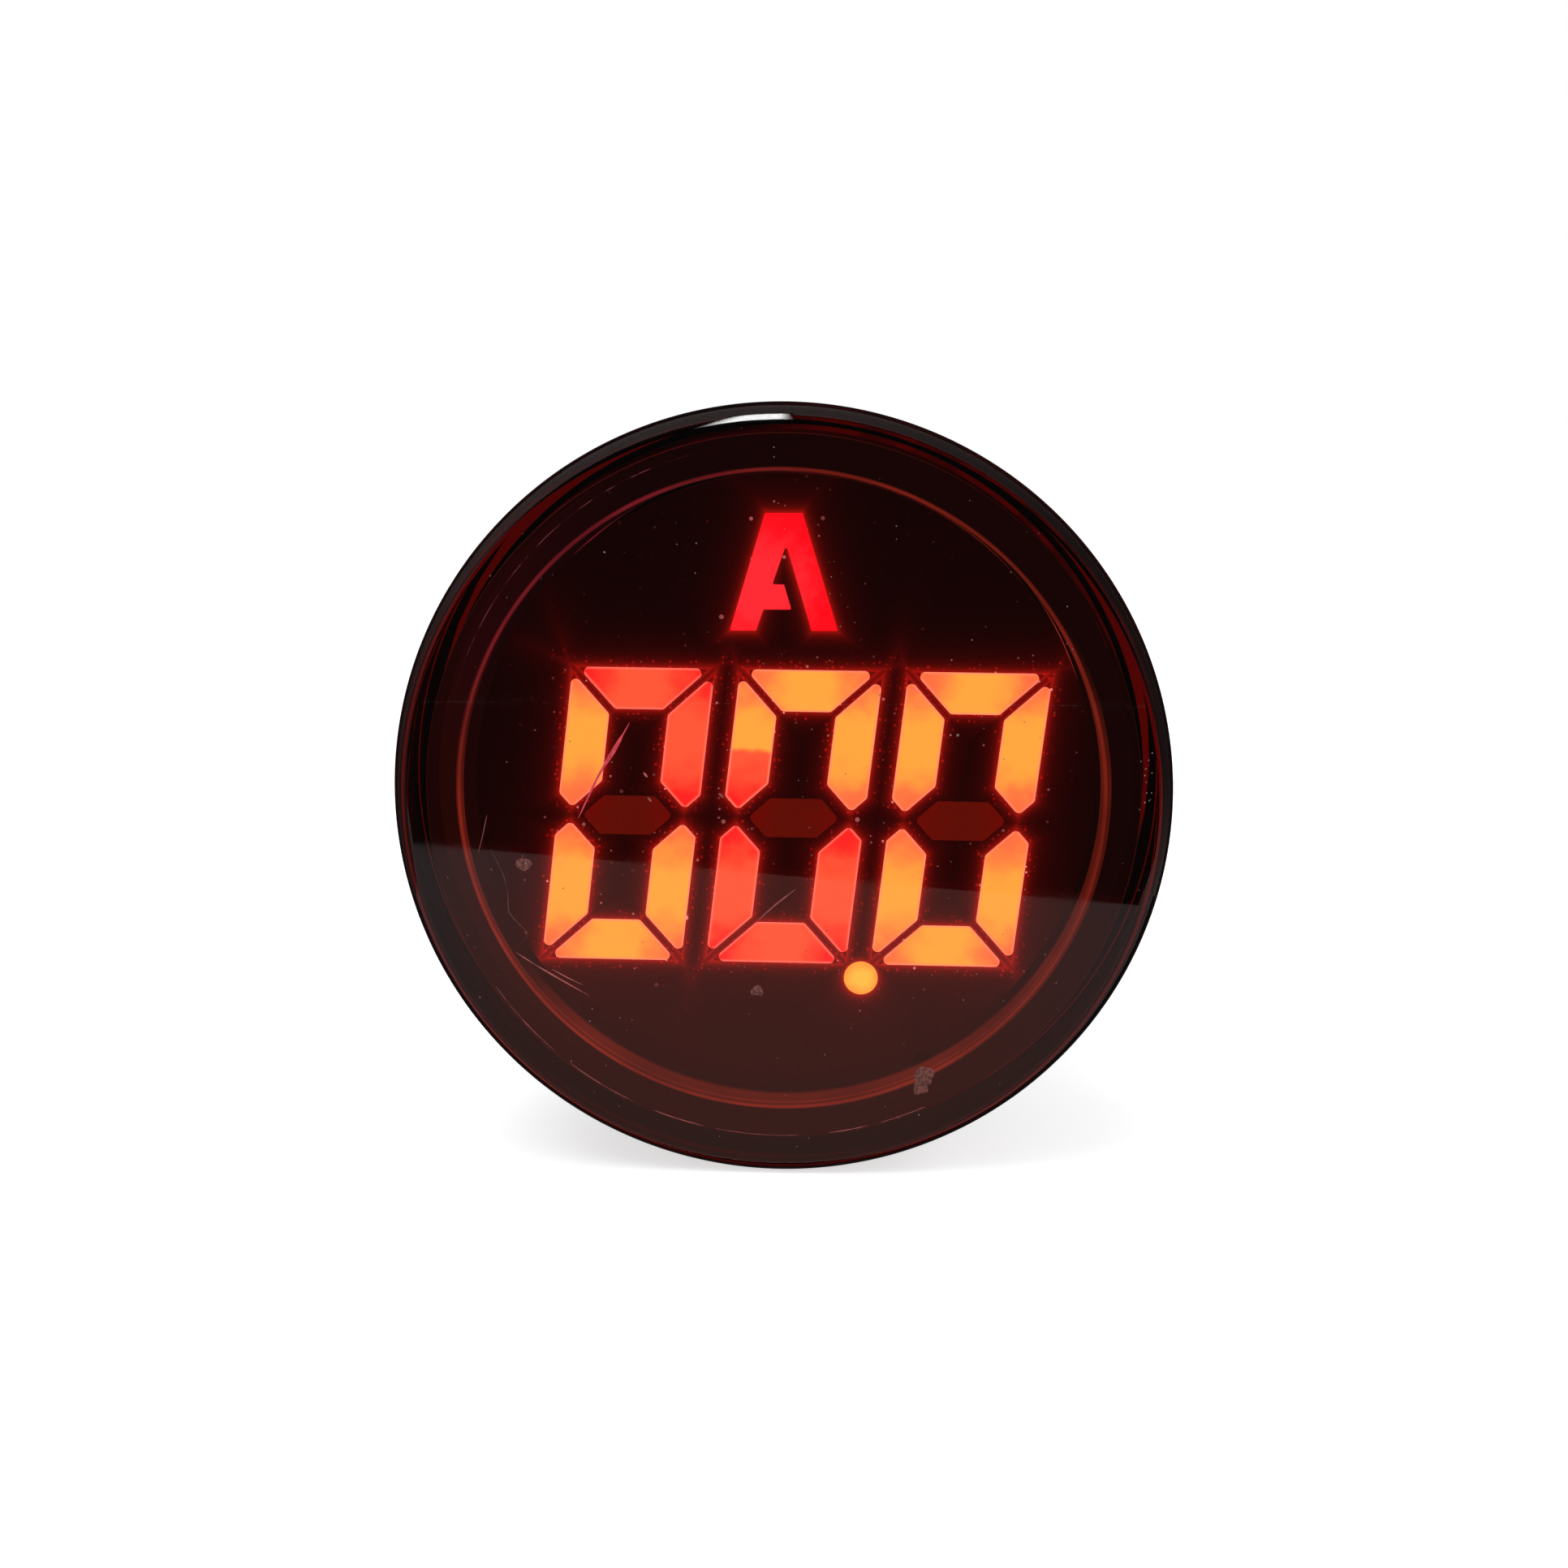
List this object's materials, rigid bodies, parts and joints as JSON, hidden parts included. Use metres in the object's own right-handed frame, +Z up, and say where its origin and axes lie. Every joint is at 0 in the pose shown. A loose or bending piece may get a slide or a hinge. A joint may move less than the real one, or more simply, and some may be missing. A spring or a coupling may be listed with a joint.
{
  "type": "digital panel ammeter",
  "caption": "Round digital panel ammeter with a smoked red lens, slanted seven-segment digits, a letter A, a threaded barrel with a ring nut, and screw terminals at the back.",
  "frame": {"origin": "centre of the panel seat, the rear face of the flange gasket", "axes": "+Y along the meter's axis, from the seat towards the terminals; +Z up; the lens faces -Y"},
  "size_m": [0.029, 0.046, 0.029],
  "materials": {
    "smoked_red_lens": "clear smoked red plastic, glossy, lightly scratched",
    "black_housing": "fine-grained black moulding",
    "gasket_rubber": "smooth rubber",
    "zinc_steel": "zinc plated",
    "nut_plastic": "black moulding",
    "display_black": "black printed face",
    "segment_orange": "diffusing resin, lit",
    "segment_red": "diffusing resin, lit redder",
    "segment_unlit": "diffusing resin, unlit",
    "letter_red": "diffusing resin, lit red",
    "led_chip": "chip package",
    "board_green": "solder mask on glass laminate",
    "tinned_pin": "tinned",
    "film_capacitor": "moulded box",
    "capacitor_sleeve": "shrink sleeve",
    "resistor_body": "lacquered",
    "chip_black": "moulded",
    "terminal_plastic": "black moulding",
    "terminal_brass": "stamped"
  },
  "bodies": {
    "meter": {"lens_cap": "smoked_red_lens", "main_housing": "black_housing", "flange_gasket": "gasket_rubber", "display_housing": "display_black", "led_chips": "led_chip", "display_board": "board_green", "link_header": "nut_plastic", "link_pins": "tinned_pin", "main_board": "board_green", "dropper_capacitor": "film_capacitor", "smoothing_capacitor": "capacitor_sleeve", "fuse_resistor": "resistor_body", "burden_resistor": "resistor_body", "controller_chip": "chip_black", "bridge_rectifier": "chip_black", "terminal_block": "terminal_plastic", "amp_symbol": "letter_red", "decimal_point": "segment_orange", "digit_1_segment_a": "segment_red", "digit_1_segment_b": "segment_red", "digit_1_segment_c": "segment_orange", "digit_1_segment_d": "segment_orange", "digit_1_segment_e": "segment_orange", "digit_1_segment_f": "segment_orange", "digit_1_segment_g": "segment_unlit", "digit_2_segment_a": "segment_orange", "digit_2_segment_b": "segment_orange", "digit_2_segment_c": "segment_red", "digit_2_segment_d": "segment_red", "digit_2_segment_e": "segment_red", "digit_2_segment_f": "segment_orange", "digit_2_segment_g": "segment_unlit", "digit_3_segment_a": "segment_orange", "digit_3_segment_b": "segment_orange", "digit_3_segment_c": "segment_orange", "digit_3_segment_d": "segment_orange", "digit_3_segment_e": "segment_orange", "digit_3_segment_f": "segment_orange", "digit_3_segment_g": "segment_unlit", "terminal_plate_1": "terminal_brass", "terminal_plate_2": "terminal_brass", "terminal_plate_3": "terminal_brass", "terminal_plate_4": "terminal_brass"},
    "washer": {"nut_washer": "zinc_steel"},
    "nut": {"mounting_nut": "nut_plastic"},
    "clamp_1": {"clamp_washer_1": "zinc_steel"},
    "screw_1": {"terminal_screw_1": "zinc_steel"},
    "clamp_2": {"clamp_washer_2": "zinc_steel"},
    "screw_2": {"terminal_screw_2": "zinc_steel"},
    "clamp_3": {"clamp_washer_3": "zinc_steel"},
    "screw_3": {"terminal_screw_3": "zinc_steel"},
    "clamp_4": {"clamp_washer_4": "zinc_steel"},
    "screw_4": {"terminal_screw_4": "zinc_steel"}
  },
  "joints": [
    {"name": "nut_travel", "type": "slide", "parent": "meter", "child": "washer", "axis": [0, 1, 0], "range_m": [-0.004, 0.015]},
    {"name": "nut_turn", "type": "hinge", "parent": "washer", "child": "nut", "pos_m": [0, 0, 0], "axis": [0, 1, 0], "range_deg": [-961, 3601]},
    {"name": "clamp_1_travel", "type": "slide", "parent": "meter", "child": "clamp_1", "axis": [0, 1, 0], "range_m": [0, 0.003]},
    {"name": "screw_1_turn", "type": "hinge", "parent": "clamp_1", "child": "screw_1", "pos_m": [0.0041, 0, 0.0041], "axis": [0, 1, 0], "range_deg": [-1, 2161]},
    {"name": "clamp_2_travel", "type": "slide", "parent": "meter", "child": "clamp_2", "axis": [0, 1, 0], "range_m": [0, 0.003]},
    {"name": "screw_2_turn", "type": "hinge", "parent": "clamp_2", "child": "screw_2", "pos_m": [-0.0041, 0, 0.0041], "axis": [0, 1, 0], "range_deg": [-1, 2161]},
    {"name": "clamp_3_travel", "type": "slide", "parent": "meter", "child": "clamp_3", "axis": [0, 1, 0], "range_m": [0, 0.003]},
    {"name": "screw_3_turn", "type": "hinge", "parent": "clamp_3", "child": "screw_3", "pos_m": [-0.0041, 0, -0.0041], "axis": [0, 1, 0], "range_deg": [-1, 2161]},
    {"name": "clamp_4_travel", "type": "slide", "parent": "meter", "child": "clamp_4", "axis": [0, 1, 0], "range_m": [0, 0.003]},
    {"name": "screw_4_turn", "type": "hinge", "parent": "clamp_4", "child": "screw_4", "pos_m": [0.0041, 0, -0.0041], "axis": [0, 1, 0], "range_deg": [-1, 2161]}
  ],
  "couplings": [
    {"joint": "nut_turn", "follows": "nut_travel", "rad_per_m": 4188.8},
    {"joint": "screw_1_turn", "follows": "clamp_1_travel", "rad_per_m": 12566},
    {"joint": "screw_2_turn", "follows": "clamp_2_travel", "rad_per_m": 12566},
    {"joint": "screw_3_turn", "follows": "clamp_3_travel", "rad_per_m": 12566},
    {"joint": "screw_4_turn", "follows": "clamp_4_travel", "rad_per_m": 12566}
  ]
}
